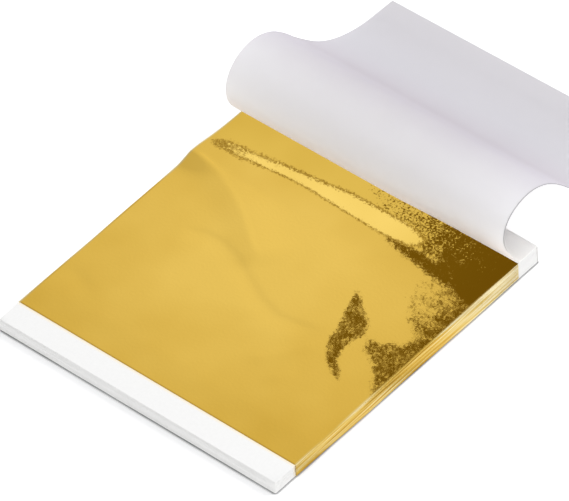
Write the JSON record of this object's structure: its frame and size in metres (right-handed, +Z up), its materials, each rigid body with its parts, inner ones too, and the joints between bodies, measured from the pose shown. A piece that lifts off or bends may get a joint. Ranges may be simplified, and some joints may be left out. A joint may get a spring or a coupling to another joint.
{
  "type": "gold leaf booklet",
  "caption": "Pad of interleaving tissue sheets glued along one edge, with loose gold-coloured metal leaves between the sheets and the top sheet curled back.",
  "frame": {"origin": "centre of the pad's underside, on the table", "axes": "+X along the bound edge, +Y from the free edge to the bound edge, +Z up out of the pad's top"},
  "size_m": [0.085, 0.1425, 0.0249],
  "materials": {
    "sheets": "matt",
    "tissue": "matt, slightly translucent",
    "gold_leaf": "bright foil, finely crinkled",
    "glue": "matt"
  },
  "bodies": {
    "pad": {"spine_glue": "glue", "page_foot": "tissue", "interleaf_01": "sheets", "interleaf_02": "sheets", "interleaf_03": "sheets", "interleaf_04": "sheets", "interleaf_05": "sheets", "interleaf_06": "sheets", "interleaf_07": "sheets", "interleaf_08": "sheets", "interleaf_09": "sheets", "interleaf_10": "sheets", "interleaf_11": "sheets", "interleaf_12": "sheets", "interleaf_13": "sheets", "interleaf_14": "sheets", "interleaf_15": "sheets", "interleaf_16": "sheets", "interleaf_17": "sheets", "interleaf_18": "sheets", "interleaf_19": "sheets", "interleaf_20": "sheets"},
    "page_strip_01": {"page_strip_01": "tissue"},
    "page_strip_02": {"page_strip_02": "tissue"},
    "page_strip_03": {"page_strip_03": "tissue"},
    "page_strip_04": {"page_strip_04": "tissue"},
    "page_strip_05": {"page_strip_05": "tissue"},
    "page_strip_06": {"page_strip_06": "tissue"},
    "page_strip_07": {"page_strip_07": "tissue"},
    "page_strip_08": {"page_strip_08": "tissue"},
    "page_strip_09": {"page_strip_09": "tissue"},
    "page_strip_10": {"page_strip_10": "tissue"},
    "gold_leaf_01": {"gold_leaf_01": "gold_leaf"},
    "gold_leaf_02": {"gold_leaf_02": "gold_leaf"},
    "gold_leaf_03": {"gold_leaf_03": "gold_leaf"},
    "gold_leaf_04": {"gold_leaf_04": "gold_leaf"},
    "gold_leaf_05": {"gold_leaf_05": "gold_leaf"},
    "gold_leaf_06": {"gold_leaf_06": "gold_leaf"},
    "gold_leaf_07": {"gold_leaf_07": "gold_leaf"},
    "gold_leaf_08": {"gold_leaf_08": "gold_leaf"},
    "gold_leaf_09": {"gold_leaf_09": "gold_leaf"},
    "gold_leaf_10": {"gold_leaf_10": "gold_leaf"},
    "gold_leaf_11": {"gold_leaf_11": "gold_leaf"},
    "gold_leaf_12": {"gold_leaf_12": "gold_leaf"},
    "gold_leaf_13": {"gold_leaf_13": "gold_leaf"},
    "gold_leaf_14": {"gold_leaf_14": "gold_leaf"},
    "gold_leaf_15": {"gold_leaf_15": "gold_leaf"},
    "gold_leaf_16": {"gold_leaf_16": "gold_leaf"},
    "gold_leaf_17": {"gold_leaf_17": "gold_leaf"},
    "gold_leaf_18": {"gold_leaf_18": "gold_leaf"},
    "gold_leaf_19": {"gold_leaf_19": "gold_leaf"},
    "gold_leaf_20": {"gold_leaf_20": "gold_leaf"}
  },
  "joints": [
    {"name": "page_turn", "type": "hinge", "parent": "pad", "child": "page_strip_01", "pos_m": [0, 0.0401, 0.00514], "axis": [1, 0, 0], "range_deg": [0, 44.2]},
    {"name": "page_bend_02", "type": "hinge", "parent": "page_strip_01", "child": "page_strip_02", "pos_m": [0, 0.0353, 0.01004], "axis": [1, 0, 0], "range_deg": [0, 34.03]},
    {"name": "page_bend_03", "type": "hinge", "parent": "page_strip_02", "child": "page_strip_03", "pos_m": [0, 0.03406, 0.01678], "axis": [1, 0, 0], "range_deg": [0, 41.06]},
    {"name": "page_bend_04", "type": "hinge", "parent": "page_strip_03", "child": "page_strip_04", "pos_m": [0, 0.03755, 0.02268], "axis": [1, 0, 0], "range_deg": [0, 40.6]},
    {"name": "page_bend_05", "type": "hinge", "parent": "page_strip_04", "child": "page_strip_05", "pos_m": [0, 0.04404, 0.0249], "axis": [1, 0, 0], "range_deg": [0, 34.45]},
    {"name": "page_bend_06", "type": "hinge", "parent": "page_strip_05", "child": "page_strip_06", "pos_m": [0, 0.05065, 0.02306], "axis": [1, 0, 0], "range_deg": [0, 23.91]},
    {"name": "page_bend_07", "type": "hinge", "parent": "page_strip_06", "child": "page_strip_07", "pos_m": [0, 0.05595, 0.01871], "axis": [1, 0, 0], "range_deg": [0, 10.42]},
    {"name": "page_bend_08", "type": "hinge", "parent": "page_strip_07", "child": "page_strip_08", "pos_m": [0, 0.06038, 0.01347], "axis": [1, 0, 0], "range_deg": [-7.43, 0]},
    {"name": "page_bend_09", "type": "hinge", "parent": "page_strip_08", "child": "page_strip_09", "pos_m": [0, 0.07003, 0.00466], "axis": [1, 0, 0], "range_deg": [-23.28, 0]},
    {"name": "page_bend_10", "type": "hinge", "parent": "page_strip_09", "child": "page_strip_10", "pos_m": [0, 0.08237, 0.00037], "axis": [1, 0, 0], "range_deg": [-17.85, 0]},
    {"name": "leaf_pull_01", "type": "slide", "parent": "pad", "child": "gold_leaf_01", "axis": [0, -1, -0.001], "range_m": [0, 0.0875]},
    {"name": "leaf_pull_02", "type": "slide", "parent": "pad", "child": "gold_leaf_02", "axis": [0, -1, -0.0019], "range_m": [0, 0.0875]},
    {"name": "leaf_pull_03", "type": "slide", "parent": "pad", "child": "gold_leaf_03", "axis": [0, -1, -0.0029], "range_m": [0, 0.0875]},
    {"name": "leaf_pull_04", "type": "slide", "parent": "pad", "child": "gold_leaf_04", "axis": [0, -1, -0.0038], "range_m": [0, 0.0875]},
    {"name": "leaf_pull_05", "type": "slide", "parent": "pad", "child": "gold_leaf_05", "axis": [0, -1, -0.0048], "range_m": [0, 0.0875]},
    {"name": "leaf_pull_06", "type": "slide", "parent": "pad", "child": "gold_leaf_06", "axis": [0, -1, -0.0057], "range_m": [0, 0.0875]},
    {"name": "leaf_pull_07", "type": "slide", "parent": "pad", "child": "gold_leaf_07", "axis": [0, -1, -0.0067], "range_m": [0, 0.0875]},
    {"name": "leaf_pull_08", "type": "slide", "parent": "pad", "child": "gold_leaf_08", "axis": [0, -1, -0.0076], "range_m": [0, 0.0875]},
    {"name": "leaf_pull_09", "type": "slide", "parent": "pad", "child": "gold_leaf_09", "axis": [0, -1, -0.0086], "range_m": [0, 0.0875]},
    {"name": "leaf_pull_10", "type": "slide", "parent": "pad", "child": "gold_leaf_10", "axis": [0, -1, -0.0096], "range_m": [0, 0.0875]},
    {"name": "leaf_pull_11", "type": "slide", "parent": "pad", "child": "gold_leaf_11", "axis": [0, -0.9999, -0.0105], "range_m": [0, 0.0875]},
    {"name": "leaf_pull_12", "type": "slide", "parent": "pad", "child": "gold_leaf_12", "axis": [0, -0.9999, -0.0115], "range_m": [0, 0.0875]},
    {"name": "leaf_pull_13", "type": "slide", "parent": "pad", "child": "gold_leaf_13", "axis": [0, -0.9999, -0.0124], "range_m": [0, 0.0875]},
    {"name": "leaf_pull_14", "type": "slide", "parent": "pad", "child": "gold_leaf_14", "axis": [0, -0.9999, -0.0134], "range_m": [0, 0.0875]},
    {"name": "leaf_pull_15", "type": "slide", "parent": "pad", "child": "gold_leaf_15", "axis": [0, -0.9999, -0.0143], "range_m": [0, 0.0875]},
    {"name": "leaf_pull_16", "type": "slide", "parent": "pad", "child": "gold_leaf_16", "axis": [0, -0.9999, -0.0153], "range_m": [0, 0.0875]},
    {"name": "leaf_pull_17", "type": "slide", "parent": "pad", "child": "gold_leaf_17", "axis": [0, -0.9999, -0.0162], "range_m": [0, 0.0875]},
    {"name": "leaf_pull_18", "type": "slide", "parent": "pad", "child": "gold_leaf_18", "axis": [0, -0.9999, -0.0172], "range_m": [0, 0.0875]},
    {"name": "leaf_pull_19", "type": "slide", "parent": "pad", "child": "gold_leaf_19", "axis": [0, -0.9998, -0.0181], "range_m": [0, 0.0875]},
    {"name": "leaf_pull_20", "type": "slide", "parent": "pad", "child": "gold_leaf_20", "axis": [0, -0.9998, -0.0191], "range_m": [0, 0.0875]}
  ],
  "couplings": [
    {"joint": "page_bend_02", "follows": "page_turn", "ratio": 0.76879},
    {"joint": "page_bend_03", "follows": "page_turn", "ratio": 0.92787},
    {"joint": "page_bend_04", "follows": "page_turn", "ratio": 0.91738},
    {"joint": "page_bend_05", "follows": "page_turn", "ratio": 0.77822},
    {"joint": "page_bend_06", "follows": "page_turn", "ratio": 0.53976},
    {"joint": "page_bend_07", "follows": "page_turn", "ratio": 0.23466},
    {"joint": "page_bend_08", "follows": "page_turn", "ratio": -0.16703},
    {"joint": "page_bend_09", "follows": "page_turn", "ratio": -0.52553},
    {"joint": "page_bend_10", "follows": "page_turn", "ratio": -0.40262}
  ]
}
